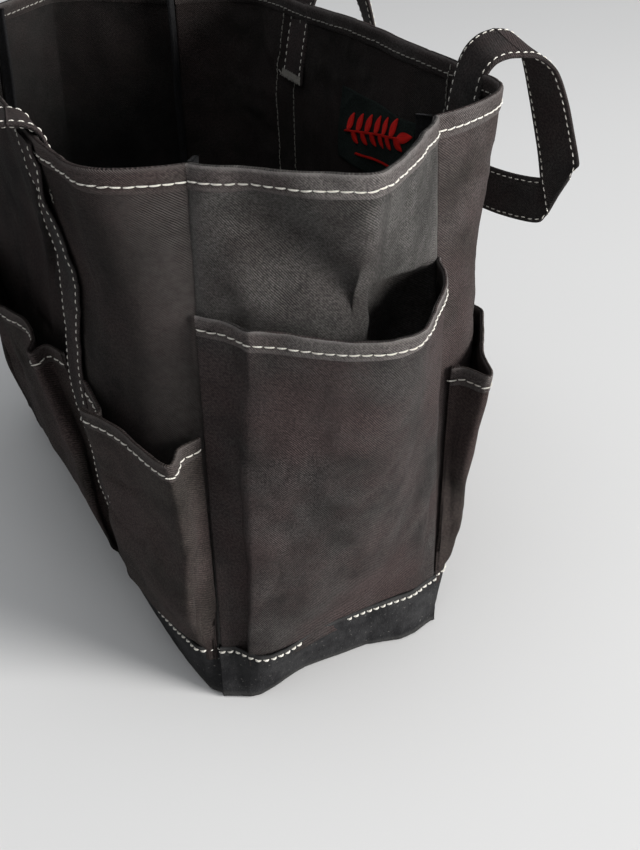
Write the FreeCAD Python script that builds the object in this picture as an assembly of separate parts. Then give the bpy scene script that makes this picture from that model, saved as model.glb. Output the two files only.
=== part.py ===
import FreeCAD, Part
import math
import os

from FreeCAD import Vector

# Open-top canvas tool bag with outside pockets and two carrying straps.
# Millimetres. The origin is the centre of the flat base, +Z is up, +X runs along the
# long side and -Y is the front. Every side wall is a sheet that stands on one straight
# edge of the base and swells outwards; the long walls belly out low down, draw in above
# the pockets and flare towards the rim.

# ---- driving dimensions -------------------------------------------------------------
BAG_HEIGHT = 300.0
HALF_LENGTH = 180.0        # corner seams, from the centre, along X
HALF_DEPTH = 66.0          # corner seams, from the centre, along Y
FRONT_SWELL = 46.0         # how far the middle of each wall stands out at the rim
REAR_SWELL = 61.0
END_SWELL = 52.0
LONG_POWER = 14.0          # a high power keeps the long walls flat between the corners
END_POWER = 2.3            # a low power rounds the end walls

# Heights where the walls change their slope, and the share of its full swell that each
# kind of wall has reached there.
LEVELS = (0.0, 35.0, 90.0, 160.0, 225.0, BAG_HEIGHT)
FRONT_SHARE = (0.0, 0.32, 0.62, 0.80, 0.73, 1.0)
REAR_SHARE = (0.0, 0.30, 0.60, 0.80, 0.80, 1.0)
END_SHARE = (0.0, 0.15, 0.38, 0.60, 0.80, 1.0)

CANVAS = 2.0               # wall thickness, seams and lining turned under included
HEM_HEIGHT = 11.0
HEM_EXTRA = 0.8            # how much the rolled hem stands proud of the wall
SEWN_GAP = 0.1             # air left between sewn pieces so that each is its own solid

COVER_HEIGHT = 34.0        # heavy base cover, outside
COVER_THICK = 2.0

STRAP_WIDTH = 28.0
STRAP_X = 100.0            # centre of each strap, from the middle of the bag
OUTER_STRAP_THICK = 1.6
HANDLE_THICK = 3.0

LONG_POCKET_TOP = 170.0
END_POCKET_TOP = 229.0
MIDDLE_POCKET_GAPE = 18.0
CORNER_POCKET_GAPE = 13.0
END_POCKET_GAPE = 24.0
POCKET_THICK = 1.8
POCKET_POWER = 2.6         # how squarely a pocket leaves its sewn sides
SEAM_SHARE = 0.985         # where corner pockets are sewn, as a share of the half length
END_SEAM_SHARE = 0.96      # the same for end pockets, of the half depth
STRAP_CLEAR = 1.0          # bare wall between a strap and the pockets beside it

BINDING_DEPTH = 8.0        # seam binding that stands into the bag at each corner
BINDING_WIDTH = 2.4
BINDING_PROUD = 2.5        # it pokes up over the rim
MITRE_PROBE = 10.0         # how far in from a corner its inward direction is taken

TAIL_BOTTOM = 252.0        # lower end of the strap that is sewn inside the bag
TACK_HEIGHT = 5.0
TACK_THICK = 1.0
HINGE_HALF_GAP = 1.8       # half of the gap at each fold of a handle

LABEL_WIDTH = 92.0
LABEL_HEIGHT = 44.0
LABEL_X = 22.0
LABEL_Z = 232.0
LABEL_THICK = 0.8

# ---- walls --------------------------------------------------------------------------
# Each side: the direction along it, the outward direction, its half span, its distance
# from the centre, its swell at the rim, the power of its outline and its shares of swell.
SIDES = {
    "front": (Vector(1, 0, 0), Vector(0, -1, 0), HALF_LENGTH, HALF_DEPTH, FRONT_SWELL,
              LONG_POWER, FRONT_SHARE),
    "right": (Vector(0, 1, 0), Vector(1, 0, 0), HALF_DEPTH, HALF_LENGTH, END_SWELL,
              END_POWER, END_SHARE),
    "rear": (Vector(-1, 0, 0), Vector(0, 1, 0), HALF_LENGTH, HALF_DEPTH, REAR_SWELL,
             LONG_POWER, REAR_SHARE),
    "left": (Vector(0, -1, 0), Vector(-1, 0, 0), HALF_DEPTH, HALF_LENGTH, END_SWELL,
             END_POWER, END_SHARE),
}
ORDER = ["front", "right", "rear", "left"]
SECTION_POINTS = 25
MITRE_CLEAR = 4.0


def reach_at(side, z):
    """How far the middle of a wall stands out at height z, straight between the levels."""
    swell, shares = SIDES[side][4], SIDES[side][6]
    for low, high, first, last in zip(LEVELS, LEVELS[1:], shares, shares[1:]):
        if z <= high:
            break
    return swell * (first + (last - first) * (z - low) / (high - low))


def swell_at(side, s, z):
    """How far the wall stands out of its base line at s in -1..1 along it, and the slope of that."""
    half, power = SIDES[side][2], SIDES[side][5]
    reach = reach_at(side, z)
    out = reach * (1.0 - abs(s) ** power)
    slope = -reach * power * abs(s) ** (power - 1.0) * math.copysign(1.0, s) / half
    return out, slope


def wall_normal(side, s, z):
    along, outward = SIDES[side][0], SIDES[side][1]
    slope = swell_at(side, s, z)[1]
    return (outward - along * slope).normalize()


def wall_point(side, s, z, off):
    """A point off millimetres outside the wall's sewing line, mitred where two walls meet."""
    along, outward, half, distance = SIDES[side][:4]
    out = swell_at(side, s, z)[0]
    point = along * (s * half) + outward * (distance + out) + Vector(0, 0, z)
    normal = wall_normal(side, s, z)
    if abs(s) < 1.0:
        return point + normal * off
    step = 1 if s > 0 else -1
    neighbour = ORDER[(ORDER.index(side) + step) % len(ORDER)]
    other = wall_normal(neighbour, -s, z)
    return point + (normal + other) * (off / (1.0 + normal.dot(other)))


def stations(side, s0, s1):
    """Places along a wall, closer together towards its corners but clear of their mitres."""
    limit = 1.0 - MITRE_CLEAR / SIDES[side][2]
    a0, a1 = math.asin(max(s0, -limit)), math.asin(min(s1, limit))
    last = SECTION_POINTS - 1
    inner = [math.sin(a0 + (a1 - a0) * i / last) for i in range(1, last)]
    return [s0] + inner + [s1]


def wall_curve(side, s0, s1, z, off):
    """The wall's outline at height z as a smooth edge; off is a number or a function of s and z."""
    offset = off if callable(off) else (lambda s, height: off)
    curve = Part.BSplineCurve()
    curve.interpolate([wall_point(side, s, z, offset(s, z)) for s in stations(side, s0, s1)])
    return curve.toShape()


def sheet_section(side, s0, s1, z, inner, outer):
    near = wall_curve(side, s0, s1, z, inner)
    far = wall_curve(side, s0, s1, z, outer)
    ends = [Part.makeLine(near.valueAt(near.FirstParameter), far.valueAt(far.FirstParameter)),
            Part.makeLine(near.valueAt(near.LastParameter), far.valueAt(far.LastParameter))]
    return Part.Wire([near, ends[1], far, ends[0]])


def heights(z0, z1):
    """Two heights and the levels between them."""
    return [z0] + [level for level in LEVELS if z0 < level < z1] + [z1]


def sheet(side, s0, s1, z0, z1, inner, outer):
    """A sheet of cloth on a wall, between two offsets and two heights, as one solid."""
    sections = [sheet_section(side, s0, s1, z, inner, outer) for z in heights(z0, z1)]
    return Part.makeLoft(sections, True, True)


def ring_solid(z0, z1, off):
    """Everything inside the four walls' outline between two heights."""
    sections = [Part.Wire([wall_curve(side, -1.0, 1.0, z, off) for side in ORDER])
                for z in heights(z0, z1)]
    return Part.makeLoft(sections, True, True)


def panel(side):
    wall = sheet(side, -1.0, 1.0, COVER_THICK + SEWN_GAP, BAG_HEIGHT, -CANVAS, 0.0)
    hem = sheet(side, -1.0, 1.0, BAG_HEIGHT - HEM_HEIGHT, BAG_HEIGHT, -CANVAS / 2, HEM_EXTRA)
    return wall.fuse(hem)


def base_cover():
    outer = ring_solid(0.0, COVER_HEIGHT, COVER_THICK)
    inner = ring_solid(COVER_THICK, COVER_HEIGHT, SEWN_GAP)
    return outer.cut(inner)


def bottom_panel():
    low = COVER_THICK + SEWN_GAP
    return ring_solid(low, low + CANVAS, -CANVAS - SEWN_GAP)


def corner_binding(side):
    """The folded tape over the seam allowance where a wall meets the next one."""
    sections = []
    for z in heights(COVER_THICK + CANVAS + 3 * SEWN_GAP, BAG_HEIGHT + BINDING_PROUD):
        root = wall_point(side, 1.0, z, -CANVAS - BINDING_WIDTH)
        inward = (wall_point(side, 1.0, z, -MITRE_PROBE) - wall_point(side, 1.0, z, 0.0)).normalize()
        across = Vector(-inward.y, inward.x, 0) * (BINDING_WIDTH / 2)
        tip = root + inward * BINDING_DEPTH
        sections.append(Part.makePolygon([root - across, root + across, tip + across,
                                          tip - across, root - across]))
    return Part.makeLoft(sections, True, True)


# ---- outside pockets and straps -----------------------------------------------------
def pocket(side, s0, s1, top, gape):
    """A pocket sheet: sewn down at both sides and the bottom, standing open at the top."""
    low = COVER_HEIGHT + 1.0

    def gap(s, z):
        across = (2 * s - s0 - s1) / (s1 - s0)
        return 2 * SEWN_GAP + gape * (z - low) / (top - low) * (1 - abs(across) ** POCKET_POWER)

    return sheet(side, s0, s1, low, top, gap, lambda s, z: gap(s, z) + POCKET_THICK)


def outer_strap(side, x):
    """A strap sewn flat up the outside of a long wall, from the base cover to the hem."""
    sign = 1.0 if side == "front" else -1.0
    s0, s1 = [sign * (x + sign * edge * STRAP_WIDTH / 2) / HALF_LENGTH for edge in (-1, 1)]
    return sheet(side, s0, s1, COVER_HEIGHT + 1.0, BAG_HEIGHT - HEM_HEIGHT - 1.0,
                 SEWN_GAP, SEWN_GAP + OUTER_STRAP_THICK)


# ---- handles ------------------------------------------------------------------------
# A handle's strap runs in a plane across the long wall: up inside the rim, over it in
# an arch of two bends with a short flat between them, and down the outside. The strap
# is split at the middle of each bend, so that it unfolds there when it is lifted.
# sign: which way is outwards along Y; tail: distance of the sewn end from the middle of
# the bag; start: height where the first bend starts; r1, r2: radii of the bends; turn2:
# degrees of the second bend; leg: straight part; corner: radius of the loop's corners.
HANDLES = {
    "front": {"sign": -1, "tail": 105.4, "start": 298.0, "r1": 10.0, "flat": 1.0,
              "r2": 10.0, "turn2": 86.0, "leg": 62.0, "corner": 52.0},
    "rear": {"sign": 1, "tail": 118.6, "start": 288.0, "r1": 24.0, "flat": 11.0,
             "r2": 18.0, "turn2": 76.0, "leg": 52.0, "corner": 42.0},
}
HANDLE_INSIDE_RADIUS = 16.0
FIRST_FOLD = 135.0         # degrees on the first bend where the strap is split


def tail_slope(name):
    """How far a long wall leans outwards, per millimetre of height, beside a handle's tail."""
    rise = reach_at(name, BAG_HEIGHT) - reach_at(name, TAIL_BOTTOM)
    return rise / (BAG_HEIGHT - TAIL_BOTTOM)


def tail_foot(name):
    """The lower end of a tail's centre line, in (outward, up)."""
    h = HANDLES[name]
    return (h["tail"] - (h["start"] - TAIL_BOTTOM) * tail_slope(name), TAIL_BOTTOM)


def arch_point(centre, radius, degrees):
    """A point of a bend; degrees count from the outward horizontal up to the inward one."""
    angle = math.radians(degrees)
    return (centre[0] + radius * math.cos(angle), centre[1] + radius * math.sin(angle))


def band_to_solid(outline, sign, x0, x1):
    """Extrudes edges drawn in the (outward, up) plane along X."""
    solid = Part.Face(Part.Wire(outline)).extrude(Vector(0, 0, x1 - x0))
    # (outward, up, along) becomes (along X, outward Y, up Z)
    turned = FreeCAD.Matrix(0, 0, 1, x0, sign, 0, 0, 0, 0, 1, 0, 0, 0, 0, 0, 1)
    return solid.transformGeometry(turned)


def flat(point):
    return Vector(point[0], point[1], 0)


def bend_outline(centre, radius, start, end):
    """An arc-shaped strip of strap between two angles."""
    low, high = radius - HANDLE_THICK / 2, radius + HANDLE_THICK / 2
    middle = (start + end) / 2
    arcs = []
    for r, angles in ((low, (start, middle, end)), (high, (end, middle, start))):
        arcs.append(Part.Arc(*[flat(arch_point(centre, r, a)) for a in angles]).toShape())
    sides = [Part.makeLine(flat(arch_point(centre, low, end)), flat(arch_point(centre, high, end))),
             Part.makeLine(flat(arch_point(centre, high, start)), flat(arch_point(centre, low, start)))]
    return [arcs[0], sides[0], arcs[1], sides[1]]


def run_outline(start, end):
    """A straight strip of strap between two points of its centre line."""
    a, b = flat(start), flat(end)
    along = (b - a).normalize()
    across = Vector(-along.y, along.x, 0) * (HANDLE_THICK / 2)
    corners = [a - across, a + across, b + across, b - across]
    return [Part.makeLine(corners[i], corners[(i + 1) % 4]) for i in range(4)]


def handle_layout(name):
    """Centres of the two bends, the split angles and the leg's line, in (outward, up)."""
    h = HANDLES[name]
    c1 = (h["tail"] + h["r1"], h["start"])
    apex = h["start"] + h["r1"]
    c2 = (c1[0] + h["flat"], apex - h["r2"])
    end2 = 90.0 - h["turn2"]
    leg_start = arch_point(c2, h["r2"], end2)
    direction = (math.sin(math.radians(end2)), -math.cos(math.radians(end2)))
    return {"c1": c1, "c2": c2, "fold1": FIRST_FOLD, "fold2": (90.0 + end2) / 2, "end2": end2,
            "leg_start": leg_start, "direction": direction, "apex": apex}


def split(radius):
    """Half of a fold's gap as an angle on a bend."""
    return math.degrees(HINGE_HALF_GAP / radius)


def both_sides(sign, *outlines):
    """The same strip at both ends of a handle."""
    solids = []
    for x in (-STRAP_X, STRAP_X):
        pieces = [band_to_solid(o, sign, x - STRAP_WIDTH / 2, x + STRAP_WIDTH / 2) for o in outlines]
        solids.append(pieces[0].multiFuse(pieces[1:]).removeSplitter() if pieces[1:] else pieces[0])
    return solids


def handle_tail(name, x):
    """The end of the handle that is sewn inside the bag, up to the first fold."""
    h, lay = HANDLES[name], handle_layout(name)
    outlines = [run_outline(tail_foot(name), (h["tail"], h["start"])),
                bend_outline(lay["c1"], h["r1"], 180.0, lay["fold1"] + split(h["r1"]))]
    solids = both_sides(h["sign"], *outlines)
    return solids[0] if x < 0 else solids[1]


def handle_bend(name):
    """The top of the arch, between the two folds, at both ends of the handle."""
    h, lay = HANDLES[name], handle_layout(name)
    first = bend_outline(lay["c1"], h["r1"], lay["fold1"] - split(h["r1"]), 90.0)
    level = run_outline((lay["c1"][0], lay["apex"]), (lay["c2"][0], lay["apex"]))
    second = bend_outline(lay["c2"], h["r2"], 90.0, lay["fold2"] + split(h["r2"]))
    return Part.makeCompound(both_sides(h["sign"], first, level, second))


def handle_loop(name):
    """Both hanging legs and the grip between them, one U of strap beyond the folds."""
    h, lay = HANDLES[name], handle_layout(name)
    bends = both_sides(h["sign"], bend_outline(lay["c2"], h["r2"],
                                               lay["fold2"] - split(h["r2"]), lay["end2"]))
    width = STRAP_X + STRAP_WIDTH / 2
    depth = h["leg"] + h["corner"]
    outer = rounded_u(width, depth, h["corner"])
    inner = rounded_u(width - STRAP_WIDTH, depth - STRAP_WIDTH, HANDLE_INSIDE_RADIUS)
    plate = outer.extrude(Vector(0, 0, HANDLE_THICK)).cut(
        inner.extrude(Vector(0, 0, HANDLE_THICK)))
    plate.translate(Vector(0, 0, -HANDLE_THICK / 2))
    # plate axes (across, down the leg, through the strap) to (X, leg direction, normal)
    sign, (dy, dz), start = h["sign"], lay["direction"], lay["leg_start"]
    place = FreeCAD.Matrix(1, 0, 0, 0, 0, sign * dy, -dz, sign * start[0],
                           0, dz, sign * dy, start[1], 0, 0, 0, 1)
    return plate.transformGeometry(place).multiFuse(bends).removeSplitter()


def rounded_u(half_width, depth, radius):
    """A face from the fold line down, with two rounded lower corners."""
    w, r = half_width, radius
    k = r * (1 - math.sqrt(0.5))
    edges = [Part.makeLine(Vector(-w, 0, 0), Vector(-w, depth - r, 0)),
             Part.Arc(Vector(-w, depth - r, 0), Vector(-w + k, depth - k, 0),
                      Vector(-w + r, depth, 0)).toShape(),
             Part.makeLine(Vector(-w + r, depth, 0), Vector(w - r, depth, 0)),
             Part.Arc(Vector(w - r, depth, 0), Vector(w - k, depth - k, 0),
                      Vector(w, depth - r, 0)).toShape(),
             Part.makeLine(Vector(w, depth - r, 0), Vector(w, 0, 0)),
             Part.makeLine(Vector(w, 0, 0), Vector(-w, 0, 0))]
    return Part.Face(Part.Wire(edges))


def bar_tacks():
    """Dense thread across the lower end of each handle tail, inside the bag."""
    solids = []
    for name, h in HANDLES.items():
        inner = tail_foot(name)[0] - HANDLE_THICK / 2
        for x in (-STRAP_X, STRAP_X):
            low = inner - SEWN_GAP - TACK_THICK
            tack = Part.makeBox(STRAP_WIDTH, TACK_THICK, TACK_HEIGHT)
            y = low if h["sign"] > 0 else -low - TACK_THICK
            tack.translate(Vector(x - STRAP_WIDTH / 2, y, TAIL_BOTTOM + TACK_HEIGHT / 4))
            solids.append(tack)
    return Part.makeCompound(solids)


def woven_label():
    """A plain woven patch sewn inside the rear wall."""
    s_mid = -LABEL_X / HALF_LENGTH
    s_half = LABEL_WIDTH / 2 / HALF_LENGTH
    return sheet("rear", s_mid - s_half, s_mid + s_half, LABEL_Z - LABEL_HEIGHT / 2,
                 LABEL_Z + LABEL_HEIGHT / 2, -CANVAS - SEWN_GAP - LABEL_THICK, -CANVAS - SEWN_GAP)


# ---- assembly -----------------------------------------------------------------------
def build_nodes():
    nodes = {"front_panel": panel("front"), "rear_panel": panel("rear"),
             "right_gusset": panel("right"), "left_gusset": panel("left"),
             "bottom_panel": bottom_panel(), "base_cover": base_cover()}
    corners = {"front_right": "front", "rear_right": "right",
               "rear_left": "rear", "front_left": "left"}
    for corner, side in corners.items():
        nodes[corner + "_seam_binding"] = corner_binding(side)

    strap_edge = (STRAP_X - STRAP_WIDTH / 2 - STRAP_CLEAR) / HALF_LENGTH
    strap_far = (STRAP_X + STRAP_WIDTH / 2 + STRAP_CLEAR) / HALF_LENGTH
    for side, sign in (("front", 1), ("rear", -1)):
        spans = {"left": (-SEAM_SHARE, -strap_far), "middle": (-strap_edge, strap_edge),
                 "right": (strap_far, SEAM_SHARE)}
        for place, (low, high) in spans.items():
            s0, s1 = sorted((sign * low, sign * high))
            gape = MIDDLE_POCKET_GAPE if place == "middle" else CORNER_POCKET_GAPE
            nodes[side + "_" + place + "_pocket"] = pocket(side, s0, s1, LONG_POCKET_TOP, gape)
        nodes[side + "_left_strap"] = outer_strap(side, -STRAP_X)
        nodes[side + "_right_strap"] = outer_strap(side, STRAP_X)
        nodes[side + "_left_handle_tail"] = handle_tail(side, -STRAP_X)
        nodes[side + "_right_handle_tail"] = handle_tail(side, STRAP_X)
        nodes[side + "_handle_bend"] = handle_bend(side)
        nodes[side + "_handle_loop"] = handle_loop(side)
    for side in ("right", "left"):
        nodes[side + "_end_pocket"] = pocket(side, -END_SEAM_SHARE, END_SEAM_SHARE,
                                             END_POCKET_TOP, END_POCKET_GAPE)
    nodes["handle_bar_tacks"] = bar_tacks()
    nodes["inside_label"] = woven_label()
    return nodes


os.makedirs("parts", exist_ok=True)
for node, shape in build_nodes().items():
    shape.exportStep("parts/" + node + ".step")
    print(node, len(shape.Solids), shape.isValid(), round(shape.Volume / 1000, 2))
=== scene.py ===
import math

import bpy
import numpy as np
from mathutils import Matrix, Vector, noise


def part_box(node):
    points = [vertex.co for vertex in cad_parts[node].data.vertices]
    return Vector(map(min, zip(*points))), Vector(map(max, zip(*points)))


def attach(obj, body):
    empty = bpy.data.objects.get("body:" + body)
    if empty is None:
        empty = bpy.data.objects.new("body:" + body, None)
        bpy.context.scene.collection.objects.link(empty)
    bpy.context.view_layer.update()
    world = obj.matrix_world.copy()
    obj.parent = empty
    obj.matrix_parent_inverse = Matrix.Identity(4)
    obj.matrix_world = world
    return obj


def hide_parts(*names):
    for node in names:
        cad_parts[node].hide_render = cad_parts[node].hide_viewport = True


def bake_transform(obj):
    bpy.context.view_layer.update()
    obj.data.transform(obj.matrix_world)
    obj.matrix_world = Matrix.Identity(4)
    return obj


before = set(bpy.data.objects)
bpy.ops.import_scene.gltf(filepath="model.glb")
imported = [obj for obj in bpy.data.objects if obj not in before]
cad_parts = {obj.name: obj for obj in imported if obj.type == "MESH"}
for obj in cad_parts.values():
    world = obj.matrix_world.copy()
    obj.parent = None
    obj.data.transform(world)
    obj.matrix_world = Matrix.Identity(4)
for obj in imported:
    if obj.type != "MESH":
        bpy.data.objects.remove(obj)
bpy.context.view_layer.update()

MM = 0.001
RNG = np.random.default_rng(7)


def top_of(node):
    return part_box(node)[1][2] / MM


# ---- sizes ----
RIM = top_of("front_panel")
COVER_TOP = top_of("base_cover")
HALF_LENGTH = 180.0
BASE_HALF_DEPTH = 67.0
RIM_HALF_DEPTH = 64.5
STRAP_X = 100.0
STRAP_WIDTH = 28.0
CANVAS = 1.6
STITCH_PITCH = 5.5
HEM_HEIGHT = 10.6
HEM_STITCH = 7.8
POCKET_HEM = 9.4
POCKET_STITCH = 7.0
POCKET_PITCH = 5.3
COVER_PITCH = 4.3
STRAP_PITCH = 4.0
HANDLE_PITCH = 4.4
RIM_DROP = 3.0
CORNER_PULL = 7.0

SIDES = {
    "front": (np.array([1.0, 0, 0]), np.array([0, -1.0, 0])),
    "right": (np.array([0, 1.0, 0]), np.array([1.0, 0, 0])),
    "rear": (np.array([-1.0, 0, 0]), np.array([0, 1.0, 0])),
    "left": (np.array([0, -1.0, 0]), np.array([-1.0, 0, 0])),
}
ORDER = tuple(SIDES)
LONG = ("front", "rear")
UP = np.array([0, 0, 1.0])


# ---- small maths ----
def smooth(x, low=0.0, high=1.0):
    t = np.clip((x - low) / (high - low), 0, 1)
    return t * t * (3 - 2 * t)


def unit(v):
    return v / np.maximum(np.linalg.norm(v, axis=-1, keepdims=True), 1e-9)


def wobble(u, v, size, seed):
    """Smooth noise, about -1 to 1, over two lengths in millimetres."""
    u, v = np.broadcast_arrays(u, v)
    return np.array([noise.noise(Vector((a / size, b / size, seed * 7.31)))
                     for a, b in zip(u.ravel(), v.ravel())]).reshape(u.shape)


def lengths(points):
    """Distances along a row of points, from the first."""
    return np.concatenate([[0], np.cumsum(np.linalg.norm(np.diff(points, axis=0), axis=1))])


def spline(points, at):
    """A Catmull-Rom curve through points, at places counted in points from the first."""
    points = np.asarray(points, float)
    ends = np.vstack([2 * points[0] - points[1], points, 2 * points[-1] - points[-2]])
    i = np.clip(np.floor(at).astype(int), 0, len(points) - 2)
    t = (np.asarray(at) - i)[..., None]
    a, b, c, d = (ends[i + k] for k in range(4))
    return 0.5 * (2 * b + (c - a) * t + (2 * a - 5 * b + 4 * c - d) * t ** 2
                  + (3 * b - a - 3 * c + d) * t ** 3)


def even_places(points, count):
    """count places on a spline, evenly spaced along it."""
    fine = np.linspace(0, len(points) - 1, 60 * len(points))
    length = lengths(spline(points, fine))
    return np.interp(np.linspace(0, length[-1], count), length, fine)


# ---- the bag's four walls ----
def half_depth(z):
    return BASE_HALF_DEPTH + (RIM_HALF_DEPTH - BASE_HALF_DEPTH) * z / RIM


def half_width(side, z):
    """Half the distance between a wall's two corner seams at height z."""
    return HALF_LENGTH if side in LONG else half_depth(z)


# Heights where the long walls change their lean, and the share of its swell each has there.
LEVELS = (-60, 0, 35, 90, 160, 225, 300, 360)
FRONT_SHARE = (-0.35, 0, 0.20, 0.55, 0.79, 0.74, 1.0, 1.24)
REAR_SHARE = (-0.5, 0, 0.30, 0.60, 0.80, 0.80, 1.0, 1.18)
FRONT_SWELL, REAR_SWELL, END_SWELL = 46.0, 61.0, 50.0
BASE_BOW = 7.0
KERNEL = np.exp(-(np.arange(-30, 31) / 11.0) ** 2)
FINE_Z = np.arange(-30.0, 331.0)


def rounded_profile(shares):
    """Shares of swell at every millimetre of height, without corners at the levels."""
    raw = np.interp(np.arange(-60.0, 361.0), LEVELS, shares)
    return np.convolve(raw, KERNEL / KERNEL.sum(), "valid")


LONG_PROFILE = {"front": rounded_profile(FRONT_SHARE), "rear": rounded_profile(REAR_SHARE)}


def end_swell(y, z, side):
    """An end wall: a parabola low down that turns into a soft crease higher up."""
    half, h = half_depth(z), z / RIM
    middle = (1.5 if side == "right" else 9.0) - 26.0 * (1 - h) * (1 if side == "right" else -0.5)
    away = y - middle
    t = np.where(away < 0, -away / (half + middle), away / (half - middle))
    soft = 0.0018 + 0.012 * smooth(z, 270, RIM)
    rounded = (np.sqrt(t * t + soft) - np.sqrt(soft)) / (np.sqrt(1 + soft) - np.sqrt(soft))
    crease_share = 0.12 + 0.70 * smooth(z, 60, 235)
    return END_SWELL * h ** 0.78 * ((1 - crease_share) * (1 - t * t) + crease_share * (1 - rounded))


def swell(side, along, z):
    """How far a wall stands out beyond the straight line between its two corner seams."""
    if side not in LONG:
        return end_swell(along, z, side)
    h = z / RIM
    s = np.clip(np.abs(along) / HALF_LENGTH, 0, 1)
    reach = (FRONT_SWELL if side == "front" else REAR_SWELL) * np.interp(z, FINE_Z, LONG_PROFILE[side])
    bow = BASE_BOW * (1 - s ** 5) * (1 - smooth(z, 0, 140))
    if side == "rear":
        return reach * (1 - s ** (8 + 3 * h)) - 5 * h * smooth(along, 0, 150) * (1 - s ** 4) + bow
    return reach * (1 - s ** (10 + 8 * h * h)) + bow


def rim_pull(side, point, along, z):
    """The corner behind the near end is drawn in a little towards the rim."""
    if side == "right":
        share = smooth(along, -20, 66)
    elif side == "rear":
        share = smooth(-along, 110, 180)
    else:
        return point
    return point - np.array([1.0, 0, 0]) * (CORNER_PULL * (z / RIM) ** 2 * share)[..., None]


def crumple(u, v, size, seed, sharp=0.10):
    """A net of soft creases, 0 between them and down to -1 in them."""
    lines = np.exp(-(wobble(u, v, size, seed) / sharp) ** 2)
    return -lines * smooth(wobble(u, v, size * 1.6, seed + 3), -0.3, 0.4)


def crease(along, z, start, end, width, depth):
    """A fold line from start to end, each (along, z), fading out towards both ends."""
    d = np.array(end, float) - start
    t = ((along - start[0]) * d[0] + (z - start[1]) * d[1]) / (d @ d)
    away = np.hypot(along - start[0] - t * d[0], z - start[1] - t * d[1])
    fade = smooth(t, -0.05, 0.25) * (1 - smooth(t, 0.75, 1.05))
    return depth * np.exp(-(away / width) ** 2) * fade


FOLDS = {
    # along, height to along, height; half width; height of the fold
    "front": [((92, 284), (60, 200), 3.0, -5.0), ((66, 300), (62, 262), 2.6, -4.0),
              ((78, 300), (50, 150), 11.0, 3.0), ((140, 300), (118, 190), 14.0, -2.5),
              ((162, 240), (130, 60), 12.0, -2.2), ((-60, 300), (-90, 170), 12.0, -3.0),
              ((-130, 290), (-110, 150), 14.0, 3.0), ((10, 296), (20, 180), 16.0, -3.0)],
    "right": [((-62, 296), (2, 226), 13.0, -8.0), ((-66, 250), (-36, 222), 9.0, 2.2),
              ((-34, 286), (-26, 262), 5.0, -1.5), ((-56, 280), (-46, 230), 6.0, 1.6),
              ((26, 266), (52, 256), 4.0, -1.4), ((30, 284), (22, 250), 6.0, -1.2),
              ((-20, 250), (4, 225), 7.0, -2.0), ((40, 290), (34, 200), 8.0, 1.4)],
    "rear": [((120, 296), (150, 180), 16.0, -2.5), ((-40, 300), (-70, 160), 18.0, -3.5),
             ((60, 290), (30, 120), 15.0, 3.0), ((-150, 250), (-120, 90), 14.0, -2.5)],
    "left": [((-20, 290), (-30, 180), 10.0, -2.5), ((24, 280), (34, 160), 9.0, 2.4)],
}
SEEDS = {"front": 1, "right": 2, "rear": 3, "left": 4}
TUCK_DEPTH, TUCK_EDGE = 19.0, 244.0


def tuck(along, z):
    """Where the near end's wall turns in behind its pocket, right of the crease: 0 to 1."""
    edge = TUCK_EDGE - 0.27 * (along - 5)
    return (smooth(edge - z, 0, 10) * smooth(z, 110, 190) * smooth(along, 3, 13)
            * (1 - smooth(along, 48, 64)))


def wall(side, along, z, off=0.0):
    """Points of a wall's outer face, off millimetres outside it."""
    along, z = np.broadcast_arrays(np.asarray(along, float), np.asarray(z, float))
    direction, outward = SIDES[side]
    distance = half_depth(z) if side in LONG else HALF_LENGTH + 0 * z
    half = half_width(side, z)
    step = 0.5
    out = swell(side, along, z)
    slope = (swell(side, np.clip(along + step, -half, half), z)
             - swell(side, np.clip(along - step, -half, half), z)) / (2 * step)
    normal = unit(outward - direction * slope[..., None])
    inner = smooth(half - np.abs(along), 0, 30) * smooth(z, 15, 80)
    seed = SEEDS[side]
    drape = 2.4 * wobble(along, z * 0.6, 75, seed) + 1.1 * wobble(along, z, 33, seed + 10)
    drape += 1.3 * crumple(along, z, 48, seed + 5) + 0.6 * crumple(along + 0.5 * z, z, 21, seed + 6, 0.13)
    folds = sum(crease(along, z, *f) for f in FOLDS[side])
    seam = -1.8 * np.exp(-(half - np.abs(along)) / 2.5)
    bump = (drape + folds) * inner + seam + 0.22 * wobble(along, z, 9, seed + 20)
    point = direction * along[..., None] + outward * (distance + out)[..., None] + UP * z[..., None]
    point = rim_pull(side, point, along, z)
    if side == "right":
        bump = bump - TUCK_DEPTH * tuck(along, z)
    return point + normal * (bump + off)[..., None]


def wall_places(side, count):
    """Places along a wall, evenly spaced on its rim."""
    half = half_width(side, RIM)
    fine = half * np.sin(np.linspace(-math.pi / 2, math.pi / 2, 1500))
    out = swell(side, fine, np.full_like(fine, RIM))
    length = np.concatenate([[0], np.cumsum(np.hypot(np.diff(fine), np.diff(out)))])
    return np.interp(np.linspace(0, length[-1], count), length, fine)


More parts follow.
